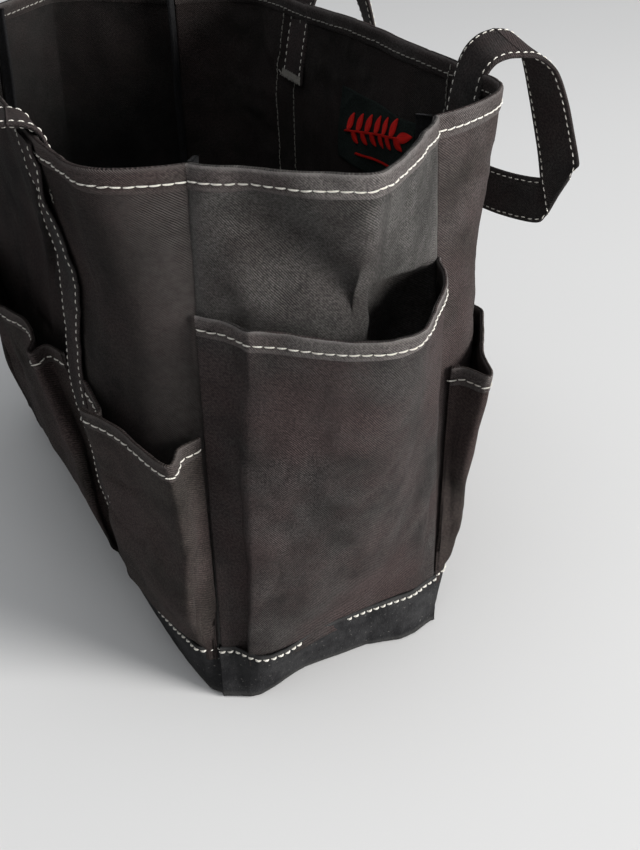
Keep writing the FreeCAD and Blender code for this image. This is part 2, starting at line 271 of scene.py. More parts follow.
# ---- cloth ----
class Sheet:
    def __init__(self, points):
        self.p = np.asarray(points, float)
        self.n = unit(np.cross(np.gradient(self.p, axis=0), np.gradient(self.p, axis=1)))
        along = np.linalg.norm(np.diff(self.p, axis=0), axis=2).mean(axis=1)
        self.along = np.concatenate([[0], np.cumsum(along)])
        up = np.linalg.norm(np.diff(self.p, axis=1), axis=2)
        self.up = np.concatenate([np.zeros((len(self.p), 1)), np.cumsum(up, axis=1)], axis=1)

    def uv(self):
        u = np.broadcast_to(self.along[:, None], self.up.shape)
        return np.stack([u, self.up], axis=2) * MM

    def below_edge(self, depth, lift=0.0):
        """The line depth millimetres below the upper edge and lift off the cloth."""
        steps = np.arange(self.p.shape[1])
        places = [np.interp(up[-1] - depth, up, steps) for up in self.up]
        points, normals = self.at(np.arange(len(self.p), dtype=float), np.array(places))
        return points + normals * lift, normals

    def at(self, i, j):
        """Points and normals at places counted in rows and columns of the grid."""
        i0 = np.clip(np.floor(i).astype(int), 0, self.p.shape[0] - 2)
        j0 = np.clip(np.floor(j).astype(int), 0, self.p.shape[1] - 2)
        a, b = (i - i0)[:, None], (j - j0)[:, None]
        out = []
        for g in (self.p, self.n):
            out.append((g[i0, j0] * (1 - a) + g[i0 + 1, j0] * a) * (1 - b)
                       + (g[i0, j0 + 1] * (1 - a) + g[i0 + 1, j0 + 1] * a) * b)
        return out[0], unit(out[1])


def new_mesh(name, vertices, faces, uv, material, wear_and_shade=None):
    """uv and wear hold a value for each vertex; all three may be grids of values."""
    mesh = bpy.data.meshes.new(name)
    mesh.from_pydata((np.reshape(vertices, (-1, 3)) * MM).tolist(), [], faces)
    mesh.polygons.foreach_set("use_smooth", np.ones(len(mesh.polygons), bool))
    layer = mesh.uv_layers.new(name="UVMap")
    corner = np.zeros(len(mesh.loops), np.int32)
    mesh.loops.foreach_get("vertex_index", corner)
    layer.data.foreach_set("uv", np.reshape(uv, (-1, 2)).astype(np.float32)[corner].ravel())
    attribute = mesh.attributes.new("wear_and_shade", "FLOAT", "POINT")
    if wear_and_shade is not None:
        attribute.data.foreach_set("value", np.ravel(wear_and_shade).astype(np.float32))
    mesh.materials.append(material)
    mesh.validate()
    piece = bpy.data.objects.new(name, mesh)
    bpy.context.collection.objects.link(piece)
    return piece


def quads(n, m, offset=0, flip=False, close_i=False, close_j=False):
    i = np.arange(n if close_i else n - 1)[:, None]
    j = np.arange(m if close_j else m - 1)[None, :]
    i1, j1 = (i + 1) % n, (j + 1) % m
    q = np.stack([i * m + j, i1 * m + j, i1 * m + j1, i * m + j1], axis=-1).reshape(-1, 4)
    return ((q[:, ::-1] if flip else q) + offset).tolist()


def closed_tube(n, m, base=0, flip=False):
    """The faces of a tube of n rings with m points each, and of its two ends."""
    ends = [[base + k for k in range(m)][::-1], [base + (n - 1) * m + k for k in range(m)]]
    ends = [end[::-1] for end in ends] if flip else ends
    return quads(n, m, base, flip, close_j=True) + ends


def grid_uv(along, round_it):
    """Texture coordinates of a grid of points, from one line each way."""
    return np.stack(np.meshgrid(lengths(along), lengths(round_it), indexing="ij"), axis=2) * MM


def cloth_piece(name, sheet, material, thick=CANVAS, wear_and_shade=None):
    """A sheet with a second face inside it and closed edges."""
    n, m = sheet.p.shape[:2]
    vertices = np.array([sheet.p, sheet.p - sheet.n * thick])
    faces = quads(n, m) + quads(n, m, n * m, flip=True)
    border = ([(i, 0) for i in range(n)] + [(n - 1, j) for j in range(1, m)]
              + [(i, m - 1) for i in range(n - 2, -1, -1)] + [(0, j) for j in range(m - 2, 0, -1)])
    ids = [i * m + j for i, j in border]
    for a, b in zip(ids, ids[1:] + ids[:1]):
        faces.append([b, a, a + n * m, b + n * m])
    # The inner face is set to -1, for painted shade inside the bag.
    wears_and_shade = np.array([np.zeros((n, m)) if wear_and_shade is None else wear_and_shade, np.full((n, m), -1.0)])
    return new_mesh(name, vertices, faces, [sheet.uv()] * 2, material, wears_and_shade)


def tube_piece(name, rings, material, wear_and_shade=None):
    """A closed skin over rings of points, capped at both ends."""
    rings = np.asarray(rings, float)
    n, m = rings.shape[:2]
    uv = grid_uv(rings.mean(axis=1), rings[n // 2])
    return new_mesh(name, rings, closed_tube(n, m, flip=True), uv, material, wear_and_shade)


def hem_piece(name, sheet, height, stitch_at, material, proud=0.8, thick=CANVAS):
    """A rolled hem over a sheet's upper edge, drawn in a little at every stitch."""
    n = len(sheet.p)
    fine = np.linspace(0, n - 1, max(60, int(sheet.along[-1] / 1.1)))
    along = np.interp(fine, np.arange(n), sheet.along)
    steps = np.arange(sheet.p.shape[1])
    column = np.round(fine).astype(int)
    out, back = proud, -thick - proud
    top = (out - back) / 2
    # distance below the edge, offset from the sheet's outer face
    profile = [(height + 1.6, -0.4), (height + 0.7, out * 0.55), (height - 0.2, out * 0.95)]
    profile += [(d, out) for d in np.linspace(height - 1.6, top, 11)]
    profile += [(top - top * math.sin(a), (out + back) / 2 + top * math.cos(a))
                for a in np.linspace(0, math.pi, 7)[1:-1]]
    profile += [(d, back) for d in np.linspace(top, height, 5)]
    profile += [(height + 1.0, -thick + 0.3)]
    up_dir = unit(sheet.p[:, -1] - sheet.p[:, -3])
    rings = np.zeros((len(fine), len(profile), 3))
    wear_and_shade = np.zeros(rings.shape[:2])
    pull = 0.5 + 0.5 * np.cos(2 * math.pi * along / STITCH_PITCH)
    for k, (depth, offset) in enumerate(profile):
        places = np.array([np.interp(up[-1] - max(depth, 0), up, steps) for up in sheet.up[column]])
        p, normal = sheet.at(fine, places)
        near = math.exp(-((depth - stitch_at) / 2.2) ** 2) if offset > -0.3 else 0.0
        ripple = 0.22 * wobble(along, np.full(len(fine), depth), 6.0, 31)
        dent = -0.42 * near * (0.55 + 0.45 * pull)
        p = p + normal * (offset + dent + (ripple if 0 < depth < height + 1 else 0))[:, None]
        rings[:, k] = p + up_dir[column] * max(0.0, -depth)
        wear_and_shade[:, k] = math.exp(-(depth / 1.4) ** 2) * 0.9 + 0.35 * math.exp(-((depth - height) / 1.0) ** 2)
        # The back of the hem is set below zero, for painted shade inside the bag.
        if offset < back + 0.3 and depth > top:
            wear_and_shade[:, k] = -0.8
    return tube_piece(name, rings, material, wear_and_shade)


# ---- stitching ----
def stitch_template(length, radius, sides=7):
    """One stitch lying along x: it rises out of the cloth and dives back into it."""
    rings = []
    for t in np.linspace(-1, 1, 7):
        r = radius * (1 - abs(t) ** 4 * 0.55)
        lift = radius * 0.75 - radius * 1.5 * abs(t) ** 2.6
        for k in range(sides):
            a = 2 * math.pi * k / sides
            rings.append((t * length / 2, r * math.cos(a), lift + r * math.sin(a)))
    return np.array(rings), closed_tube(7, sides, flip=True)


def stitch_piece(name, rows, material, pitch=STITCH_PITCH, radius=0.46, fill=0.92, slant=5.0,
                 skip=lambda p: False):
    """All the stitches of rows, each row the points and normals of a line on the cloth."""
    template, template_faces = stitch_template(pitch * fill, radius)
    vertices, faces, uv = [], [], []
    for points, normals in rows:
        length = lengths(points)
        count = max(1, int(length[-1] / pitch))
        middles = (np.arange(count) + 0.5) * length[-1] / count
        jitter = RNG.normal(0, 1, (count, 3))
        for place, (a, b, c) in zip(middles, jitter):
            p, ahead, behind, n = (np.array([np.interp(place + d, length, source[:, k])
                                             for k in range(3)])
                                   for d, source in ((0, points), (1.6, points), (-1.6, points),
                                                     (0, normals)))
            if skip(p):
                continue
            n = unit(n)
            t = unit(ahead - behind)
            side = unit(np.cross(n, t))
            angle = math.radians(slant + 2.5 * a)
            t2 = t * math.cos(angle) + side * math.sin(angle)
            s2 = np.cross(n, t2)
            local = template * [1 + 0.04 * b, 1, 1] + [0, 0.1 * c, 0]
            base = len(vertices) * len(template)
            vertices.append(p + local[:, :1] * t2 + local[:, 1:2] * s2 + local[:, 2:] * n)
            faces += [[v + base for v in f] for f in template_faces]
            uv.append(np.stack([local[:, 0] + place, local[:, 1]], axis=1) * MM)
    return new_mesh(name, np.concatenate(vertices), faces, np.concatenate(uv), material)


# ---- materials ----
class Nodes:
    """Short calls for building a material's node tree."""

    def __init__(self, name):
        self.material = bpy.data.materials.new(name)
        self.material.use_nodes = True
        self.tree = self.material.node_tree
        self.shader = self.tree.nodes["Principled BSDF"]

    def add(self, kind, **settings):
        node = self.tree.nodes.new(kind)
        for key, value in settings.items():
            setattr(node, key, value)
        return node

    def link(self, a, b):
        self.tree.links.new(a, b)

    def fill(self, node, inputs):
        """Sets a node's inputs to numbers, colours or other nodes' outputs."""
        for key, value in inputs.items():
            if isinstance(value, (int, float)):
                node.inputs[key].default_value = value
            elif isinstance(value, tuple):
                node.inputs[key].default_value = (*value, 1.0)
            elif value is not None:
                self.link(value, node.inputs[key])
        return node.outputs[0]

    def math(self, operation, a, b=None):
        return self.fill(self.add("ShaderNodeMath", operation=operation), {0: a, 1: b})

    def times(self, a, b):
        return self.math("MULTIPLY", a, b)

    def noise(self, vector, scale, detail=2.0, rough=0.5):
        return self.fill(self.add("ShaderNodeTexNoise"),
                         {"Vector": vector, "Scale": scale, "Detail": detail, "Roughness": rough})

    def ramp(self, value, low, high):
        node = self.add("ShaderNodeMapRange", interpolation_type="SMOOTHSTEP")
        return self.fill(node, {"Value": value, "From Min": low, "From Max": high})

    def mix(self, factor, a, b, blend="MIX"):
        node = self.add("ShaderNodeMix", data_type="RGBA", blend_type=blend)
        self.fill(node, {0: factor, 6: a, 7: b})
        return node.outputs[2]

    def bump(self, height, distance, strength=1.0, under=None):
        return self.fill(self.add("ShaderNodeBump"), {"Height": height, "Distance": distance,
                                                      "Strength": strength, "Normal": under})

    def wear_and_shade(self):
        """How worn a point of the cloth is; below zero on its back, which is darkened as painted shade."""
        return self.add("ShaderNodeAttribute", attribute_name="wear_and_shade").outputs["Fac"]

    def finish(self, colour, roughness, specular=0.5, sheen=0.0, normal=None):
        """Sets up the shader from these and gives the finished material."""
        self.fill(self.shader, {"Base Color": colour, "Roughness": roughness, "Normal": normal,
                                "Specular IOR Level": specular, "Sheen Weight": sheen})
        return self.material


def uv_axes(n, seed):
    """The cloth's own coordinates in metres, and a copy moved away from other pieces'."""
    uv = n.add("ShaderNodeUVMap", uv_map="UVMap").outputs[0]
    split = n.add("ShaderNodeSeparateXYZ")
    n.link(uv, split.inputs[0])
    moved = n.add("ShaderNodeVectorMath", operation="ADD")
    moved.inputs[1].default_value = (seed * 3.7, seed * 1.9, seed * 0.7)
    n.link(uv, moved.inputs[0])
    return split.outputs[0], split.outputs[1], moved.outputs[0]


# Painted shade inside the bag: the back of the cloth, where the attribute is below zero, is darkened by
# this much.
INNER_SHADE = (0.44, 0.44, 0.43)


def twill(name, dark, light, warm, seed, pitch=0.00125, warmth=0.7):
    """Washed twill canvas: diagonal ribs, blotchy dye, creases, pale worn edges and painted shade on its
    back.
    """
    n = Nodes(name)
    u, v, place = uv_axes(n, seed)
    jitter = n.times(n.noise(place, 180, 2), 0.0012)
    wave = n.math("ADD", n.math("ADD", u, v), jitter)
    rib = n.math("SINE", n.times(wave, 2 * math.pi / pitch))
    across = n.math("SUBTRACT", v, n.times(u, 0.35))
    weft = n.math("SINE", n.times(across, 2 * math.pi / (pitch * 0.62)))
    weave = n.math("ADD", n.times(rib, 0.6), n.times(weft, 0.3))
    slub = n.noise(place, 800, 3, 0.7)
    grain = n.math("ADD", n.times(n.ramp(slub, 0.32, 0.68), 0.9), 0.6)
    blotch = n.ramp(n.noise(place, 16, 4, 0.62), 0.36, 0.66)
    cloud = n.ramp(n.noise(place, 42, 5, 0.65), 0.30, 0.72)
    colour = n.mix(cloud, dark, light)
    colour = n.mix(n.times(blotch, warmth), colour, warm)
    shade = n.math("ADD", n.times(weave, 0.5), 1.0)
    colour = n.mix(1.0, colour, n.times(shade, grain), "MULTIPLY")
    wear_and_shade = n.wear_and_shade()
    # Painted shade: the back of the cloth is darkened by INNER_SHADE.
    inside_shade = n.times(wear_and_shade, -1.0)
    colour = n.mix(inside_shade, colour, n.mix(1.0, colour, INNER_SHADE, "MULTIPLY"))
    rubbed = n.times(n.ramp(n.noise(place, 240, 3, 0.6), 0.2, 0.8), 0.5)
    worn = n.times(wear_and_shade, n.math("ADD", rubbed, 0.35))
    colour = n.mix(worn, colour, tuple(min(1.0, c * 1.5 + 0.03) for c in light))
    n.shader.inputs["Sheen Roughness"].default_value = 0.45
    crumple = n.bump(n.noise(place, 55, 4, 0.5), 0.0022, 0.45)
    threads = n.bump(n.math("ADD", weave, slub), 0.00055, 1.0, crumple)
    return n.finish(colour, 0.88, 0.12, 0.02, threads)


def felted(name, dark, light, seed):
    """The coarse brushed cloth of the base cover, with pale specks."""
    n = Nodes(name)
    _, _, place = uv_axes(n, seed)
    grain = n.noise(place, 700, 4, 0.75)
    patch = n.ramp(n.noise(place, 55, 5, 0.7), 0.3, 0.7)
    colour = n.mix(patch, dark, light)
    specks = n.ramp(n.noise(place, 620, 2, 0.5), 0.66, 0.74)
    colour = n.mix(n.times(specks, 0.55), colour, (0.20, 0.195, 0.18))
    wear_and_shade = n.wear_and_shade()
    colour = n.mix(n.times(wear_and_shade, grain), colour, (0.07, 0.069, 0.066))
    rough = n.bump(n.noise(place, 150, 5, 0.7), 0.0016, 0.7)
    return n.finish(colour, 0.95, 0.1, 0.0, n.bump(grain, 0.0006, 0.9, rough))


def thread(name, colour, shade, seed, sheen=0.3):
    """Thick twisted sewing thread."""
    n = Nodes(name)
    u, v, place = uv_axes(n, seed)
    twist = n.math("SINE", n.times(n.math("ADD", u, n.times(v, 1.4)),
                                  2 * math.pi / 0.0011))
    mixed = n.mix(n.ramp(n.noise(place, 400, 3, 0.6), 0.3, 0.7), shade, colour)
    return n.finish(mixed, 0.7, 0.3, sheen, n.bump(twist, 0.0002, 0.8))


def floor_paint():
    n = Nodes("studio_floor")
    place = n.add("ShaderNodeTexCoord").outputs["Object"]
    colour = n.mix(n.noise(place, 1.3, 2), (0.745, 0.745, 0.745), (0.775, 0.775, 0.775))
    return n.finish(colour, 0.8)


CHARCOAL = (0.041, 0.039, 0.037)
GREY = (0.104, 0.0995, 0.095)
SOOT = (0.022, 0.018, 0.0155)
UMBER = (0.050, 0.041, 0.037)
PLUM = (0.062, 0.042, 0.041)


def canvases(prefix, first_seed, *rows):
    """A twill for each side in ORDER: its dark and light colour, and its share of plum."""
    return {side: twill(f"{prefix}_{side}", low, high, PLUM, first_seed + k, warmth=share)
            for k, (side, (low, high, share)) in enumerate(zip(ORDER, rows))}


# Each side's colours hold painted light and shade: the near end, turned to the lamp, is painted paler, and
# the front and far end, turned from it, darker.
SIDE_CANVAS_PAINTED_LIGHT = canvases(
    "twill", 1,
    ((0.011, 0.009, 0.008), (0.027, 0.022, 0.020), 0.5),
    (CHARCOAL, GREY, 0.2),
    (SOOT, (0.072, 0.060, 0.058), 0.7),
    ((0.010, 0.0095, 0.009), (0.029, 0.0275, 0.026), 0.4))
# Each side's pocket colours hold painted light and shade: the near end's pocket is painted darker than the
# far end's for the shade it stands in.
POCKET_CANVAS_PAINTED_LIGHT = canvases(
    "twill_pocket_painted_light", 11,
    (SOOT, UMBER, 0.65),
    ((0.024, 0.0215, 0.0205), (0.060, 0.054, 0.0525), 0.75),
    (SOOT, UMBER, 0.6),
    (CHARCOAL, GREY, 0.6))
# Each side's hem colours hold painted light: the near end's hem, turned to the lamp, is painted far paler
# than the others.
HEM_CANVAS_PAINTED_LIGHT = canvases(
    "twill_hem_painted_light", 21,
    ((0.036, 0.030, 0.028), (0.074, 0.063, 0.059), 0.5),
    ((0.090, 0.083, 0.080), (0.172, 0.160, 0.154), 0.5),
    ((0.060, 0.053, 0.051), (0.115, 0.103, 0.099), 0.5),
    ((0.036, 0.033, 0.031), (0.074, 0.069, 0.066), 0.5))
STRAP_CANVAS = twill("twill_strap", (0.024, 0.0215, 0.021), (0.050, 0.046, 0.045), PLUM, 25,
                     pitch=0.0011, warmth=0.6)
BASE_CLOTH = felted("base_cloth", (0.011, 0.011, 0.012), (0.030, 0.030, 0.031), 31)
TAPE = twill("binding_tape", (0.008, 0.008, 0.009), (0.018, 0.018, 0.020), (0.012, 0.012, 0.013), 35,
             pitch=0.0009, warmth=0.2)
THREAD = thread("cream_thread", (0.86, 0.83, 0.76), (0.66, 0.63, 0.56), 41)
RED_THREAD = thread("red_thread", (0.88, 0.012, 0.004), (0.62, 0.006, 0.003), 45, 0.0)
LABEL_CLOTH = twill("label_cloth", (0.009, 0.016, 0.014), (0.018, 0.028, 0.024), (0.012, 0.019, 0.017),
                    47, pitch=0.0007, warmth=0.3)
# Darker thread for the stitches inside the bag: painted shade.
DULL_THREAD = thread("inside_thread_painted_shade", (0.30, 0.285, 0.25), (0.16, 0.15, 0.13), 43)


# ---- walls, hems and their stitching ----
WALL_ROWS = 112
# How pale a wall is rubbed beside its corner seams, and over how many millimetres.
SEAM_WEAR = {"front": (1.0, 15), "right": (0.5, 3), "rear": (0.2, 5), "left": (0.5, 3)}


def ride(piece, slot, *nodes):
    """Fixes a piece to the bag, standing for CAD nodes if any are named."""
    if nodes:
        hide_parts(*nodes)
    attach(piece, "bag")


def rim_height(side, along):
    """The rim is nearly level; it sags a little between the corners."""
    return RIM - RIM_DROP + 0.9 * wobble(along, 0 * along, 60, SEEDS[side] + 40)


def add_wall(side, columns):
    along = wall_places(side, columns)
    level = np.linspace(0, 1, WALL_ROWS)[None, :]
    low = 2.4
    z = low + (rim_height(side, along)[:, None] - low) * level
    spread = along[:, None] * (1 + 0 * z if side in LONG else half_depth(z) / RIM_HALF_DEPTH)
    sheet = Sheet(wall(side, spread, z))
    node = side + ("_panel" if side in LONG else "_gusset")
    half = half_width(side, z)
    strength, width = SEAM_WEAR[side]
    worn = strength * np.exp(-((half - np.abs(spread)) / width) ** 2)
    piece = cloth_piece(node + "_cloth", sheet, SIDE_CANVAS_PAINTED_LIGHT[side], wear_and_shade=worn)
    ride(piece, "canvas", node)
    ride(hem_piece(side + "_rim_hem", sheet, HEM_HEIGHT, HEM_STITCH, HEM_CANVAS_PAINTED_LIGHT[side]), "canvas")
    outside = sheet.below_edge(HEM_STITCH, 0.55)
    points, normals = sheet.below_edge(HEM_STITCH, -CANVAS - 0.7)
    ride(stitch_piece(side + "_rim_stitches", [outside], THREAD, radius=0.41, fill=0.95,
                      slant=3), "thread")
    ride(stitch_piece(side + "_rim_stitches_inside", [(points, -normals)], DULL_THREAD,
                      radius=0.4), "thread")


# ---- pockets ----
# Each pocket, seen from outside from left to right: the plan of its upper edge in X and Y,
# and the plan of its sewn bottom as (distance along the wall, distance off the wall).
FRONT_RIGHT = {
    "heights": (172, 165),
    "top": [(114.5, -104), (122, -104.2), (131, -104.6), (139, -105), (144, -106.5), (143, -109),
            (137, -110.8), (134.5, -112.3), (138, -113), (145, -109.5), (153, -105.5), (163, -102),
            (178, -99), (190, -96.5), (198, -94), (201.5, -91), (198, -87), (190, -82.5),
            (186.5, -77), (182.5, -68.5)],
    "bottom": [(114.5, 1), (116, 1.2), (118, 1.6), (119, 2.2), (118.5, 3.0), (115.5, 4.0), (111, 5.0),
               (108.5, 6.2), (112, 7), (124, 6.4), (139, 5.4), (153, 5), (163, 6), (171, 8),
               (175.5, 9.5), (177.5, 8.5), (178, 6.5), (178.6, 4), (179.3, 2), (180, 1)]}
FRONT_MIDDLE = {
    "heights": (175, 175),
    "top": [(-85.5, -107), (-78, -109), (-73, -111.5), (-74, -116), (-78, -120.5), (-74, -122.5),
            (-64, -119), (-50, -115), (-30, -116), (-10, -120), (8, -122), (22, -117.5),
            (36, -114), (52, -114.5), (64, -117.5), (74, -122), (78.5, -120.5), (74, -115.5),
            (72.5, -111.5), (78, -109), (85.5, -107)],
    "bottom": [(-85.5, 1), (-80, 1.3), (-75, 1.8), (-73, 2.8), (-76, 4), (-79, 5.2), (-77, 6.6),
               (-68, 6.4), (-52, 5.4), (-34, 5), (-10, 5), (10, 5), (30, 5), (52, 5.4),
               (68, 6.4), (77, 6.6), (79, 5.2), (76, 4), (73, 2.8), (79, 1.4), (85.5, 1)]}
REAR_RIGHT = {
    "heights": (164, 172),
    "top": [(175, 67), (178, 73), (181, 78.5), (188, 81), (195, 82.5), (197.5, 85), (193, 88.5),
            (184, 91.5), (174, 95.5), (161, 104), (148, 113), (139, 118.5), (134, 119),
            (127, 117.5), (120, 117.2), (114.5, 117)],
    "bottom": [(-180, 1), (-179.4, 1.6), (-178.4, 3), (-177.4, 5), (-175.5, 7), (-171, 7), (-164, 6),
               (-156, 5), (-147, 4.4), (-140, 4.2), (-134, 4), (-129, 3.6), (-125, 3), (-121, 2),
               (-118, 1.4), (-114.5, 1)]}
RIGHT_END = {
    "heights": (228, 228),
    "top": [(181, -66), (187, -61.5), (193, -57), (199, -54.6), (204, -54), (208.5, -52.6),
            (211, -48.5), (217, -41), (229, -27), (240, -14), (246.5, 1), (245.5, 13),
            (237, 24), (222, 36.5), (211, 46.5), (203.5, 52.5), (192, 58.5), (181, 62.5),
            (175.5, 65)],
    "bottom": [(-65.6, 1), (-61.5, 1.4), (-57.5, 1.8), (-53.6, 2.2), (-50.4, 3.4), (-52.4, 6.6),
               (-52, 9.6), (-45, 10.5), (-34, 9), (-22, 6), (-8, 3), (6, 1.6), (20, 1.6),
               (32, 2.2), (42, 3), (50, 3.4), (55, 2.4), (60, 1.6), (65.6, 1)]}


def mirrored(pocket):
    """The same pocket at the other end of the bag, still listed from left to right."""
    return {"heights": pocket["heights"][::-1], "top": [(-x, y) for x, y in pocket["top"][::-1]],
            "bottom": [(-a, off) for a, off in pocket["bottom"][::-1]]}


# The rear's middle pocket is the front's turned round, further out with the rear wall.
REAR_LEAN = 12.5
REAR_MIDDLE = {**FRONT_MIDDLE, "top": [(-x, -y + REAR_LEAN) for x, y in FRONT_MIDDLE["top"]]}
POCKETS = {
    "front_right_pocket": ("front", FRONT_RIGHT), "front_middle_pocket": ("front", FRONT_MIDDLE),
    "front_left_pocket": ("front", mirrored(FRONT_RIGHT)),
    "rear_right_pocket": ("rear", REAR_RIGHT), "rear_left_pocket": ("rear", mirrored(REAR_RIGHT)),
    "rear_middle_pocket": ("rear", REAR_MIDDLE),
    "right_end_pocket": ("right", RIGHT_END), "left_end_pocket": ("left", mirrored(RIGHT_END)),
}
POCKET_ROWS = 84
# On the long walls a pocket's pleats lie flatter at its foot, and it sags over the base cover.
FOOT_SHARE, POCKET_SAG = 0.45, 5.6


def pocket_sheet(name, side, plan, columns):
    places = even_places(plan["top"], columns)
    upper = spline(plan["top"], places)
    along, off = spline(plan["bottom"], places).T
    if side in LONG:
        off = off * FOOT_SHARE
    low = COVER_TOP - 9
    foot = wall(side, along, np.full(columns, low), off)
    direction, outward = SIDES[side]
    v = np.linspace(0, 1, POCKET_ROWS)[None, :, None]
    seed = sum(map(ord, name)) % 50
    length = np.linspace(0, columns, columns)
    top = np.interp(np.linspace(0, 1, columns), (0, 1), plan["heights"])
    edge_z = top + 1.0 * wobble(length, 0 * length, 30, seed)
    head = np.concatenate([upper, edge_z[:, None]], axis=1)
    p = foot[:, None] + (head - foot)[:, None] * (v ** 1.04)
    hugging = wall(side, np.broadcast_to(along[:, None], p.shape[:2]), p[..., 2],
                   np.broadcast_to(off[:, None], p.shape[:2]))
    p = hugging + (p - hugging) * smooth(p[..., 2], COVER_TOP - 2, COVER_TOP + 34)[..., None]
    inner = smooth(np.minimum(places, len(plan["top"]) - 1 - places), 0, 3)[:, None]
    if side in LONG:
        sag = smooth(p[..., 2], COVER_TOP - 3, COVER_TOP + 8) * (1 - smooth(p[..., 2], COVER_TOP + 25, 120))
        p = p + SIDES[side][1] * (POCKET_SAG * sag * inner)[..., None]
    belly = np.sin(math.pi * v[..., 0]) * inner
    u_mm = lengths(head)[:, None]
    v_mm = v[..., 0] * (top[:, None] - low)
    belly = belly * smooth(v_mm, 12, 45)
    drape = (2.0 + 3.0 * wobble(u_mm, v_mm * 0.45, 42, seed + 1)
             + 1.6 * wobble(u_mm, v_mm, 20, seed + 2)) * belly
    fine = 0.25 * wobble(u_mm, v_mm, 8, seed + 3)
    creases = (1.2 * crumple(u_mm, v_mm, 40, seed + 4)
               + 0.55 * crumple(u_mm - 0.4 * v_mm, v_mm, 19, seed + 5, 0.13))
    fine = fine + inner * smooth(v_mm, 5, 40) * creases
    p = p + Sheet(p).n * (drape + fine)[..., None]
    a, b, z = p @ direction, p @ outward, p[..., 2]
    half = half_width(side, z)
    wall_b = wall(side, np.clip(a, -half, half), z) @ outward
    short = np.where(np.abs(a) < half, np.maximum(wall_b + 1.9 - b, 0), 0)
    return Sheet(p + outward * short[..., None])


def add_pocket(name, side, plan):
    columns = 210 if side not in LONG or "middle" in name else 150
    sheet = pocket_sheet(name, side, plan, columns)
    piece = cloth_piece(name + "_cloth", sheet, POCKET_CANVAS_PAINTED_LIGHT[side], thick=1.3)
    ride(piece, "canvas", name)
    ride(hem_piece(name + "_hem", sheet, POCKET_HEM, POCKET_STITCH, HEM_CANVAS_PAINTED_LIGHT[side], proud=0.45,
                   thick=1.3), "canvas")
    ride(stitch_piece(name + "_stitches", [sheet.below_edge(POCKET_STITCH, 0.3)], THREAD,
                      pitch=POCKET_PITCH, radius=0.39, fill=0.94, slant=3), "thread")


# ---- base cover ----
# How far the end of the cover stands out beyond the line between its corner seams, at
# distances along the end wall: at the floor and at the cover's upper edge.
COVER_FOOT = ((-67, 3), (-60, 7), (-54, 10.5), (-48, 11), (-42, 9.5), (-22, 3), (-8, 0), (4, -4), (14, -2),
              (24, 3), (41, 7), (51, 6), (60, 3), (67, 1))
COVER_HEAD = ((-67, 1.5), (-59, 5), (-55, 13), (-51, 18.5), (-45, 20.5), (-36, 20), (-26, 16.5), (-12, 12),
              (9, 9.5), (26, 9), (47, 8.5), (58, 4.5), (67, 1.5))


def cover_outline(z, off):
    """One loop round the bag at height z, off millimetres outside the cloth under it."""
    loop = []
    t = min(1.0, z / COVER_TOP)
    for side in ORDER:
        half = half_width(side, z)
        along = half * np.sin(np.linspace(-math.pi / 2, math.pi / 2, 151))[:-1]
        level = np.full_like(along, z)
        if side not in LONG:
            turn = 1 if side == "right" else -1
            shape = [np.interp(turn * along, *zip(*table)) for table in (COVER_FOOT, COVER_HEAD)]
            out = np.maximum(shape[0] * (1 - t) + shape[1] * t, swell(side, along, level) + 1.8)
            direction, outward = SIDES[side]
            ripple = 0.5 * wobble(along, level, 12, 63)
            points = (direction * along[:, None] + outward * (HALF_LENGTH + out + off + ripple)[:, None]
                      + UP * z)
        else:
            layers = 2.6 + 2.0 * t * smooth(np.abs(along), 112, 122)
            if side == "front":
                layers += 2.0 * t * np.exp(-((np.abs(along) - 172) / 5) ** 2)
            layers += 2.0 * t * (1 - smooth(np.abs(along), 80, 86))
            layers -= (1.2 + 3 * t) * smooth(np.abs(along), 173, 180)
            points = wall(side, along, level, layers + off)
        loop.append(points)
    return np.concatenate(loop)


LINING_HEIGHT = 2.1


def unstitched(p):
    """The stretch of the near end where the cover's stitches are hidden by its fold."""
    return p[0] > 150 and -25 < p[1] < 4


def add_cover():
    thick = 1.8
    heights = np.linspace(3.0, COVER_TOP, 18)
    outer = [cover_outline(z, 0.0) for z in heights]
    foot = cover_outline(0.0, -0.4) * [1, 1, 0]
    shrink = (0.03, 0.3, 0.6, 0.8, 0.93, 0.985)
    under = [foot * k for k in shrink]
    roll = cover_outline(1.2, 0.1)
    inner = [cover_outline(z, -thick) for z in heights[::-3]]
    lining = inner[-1] * [1, 1, 0] + UP * LINING_HEIGHT
    floor = [lining * [k, k, 1] for k in shrink[::-1]]
    rings = np.array(under + [foot * [0.996, 0.99, 1], roll] + outer + inner + floor)
    grid = rings.transpose(1, 0, 2)
    n, m = grid.shape[:2]
    rough = 0.25 * wobble(grid[..., 0] + grid[..., 1] * 1.3, grid[..., 2], 7, 61)
    grid = grid + unit(grid * [1, 1, 0]) * (rough * (grid[..., 2] > 1.5))[..., None]
    faces = quads(n, m, close_i=True)
    faces += [[i * m for i in range(n)][::-1], [i * m + m - 1 for i in range(n)]]
    uv = grid_uv(foot, grid[20])
    wear_and_shade = np.zeros((n, m))
    first, edge = len(under) + 1, len(under) + 2 + len(outer)
    wear_and_shade[:, first:first + 2] = 0.6
    wear_and_shade[:, edge - 2:edge] = 0.5
    piece = new_mesh("base_cover_cloth", grid, faces, uv, BASE_CLOTH, wear_and_shade)
    ride(piece, "base_canvas", "base_cover")
    band = Sheet(np.array(outer).transpose(1, 0, 2))
    ride(stitch_piece("base_cover_stitches", [band.below_edge(2.6, 0.1)], THREAD,
                      pitch=COVER_PITCH, radius=0.6, fill=0.8, skip=unstitched), "thread")


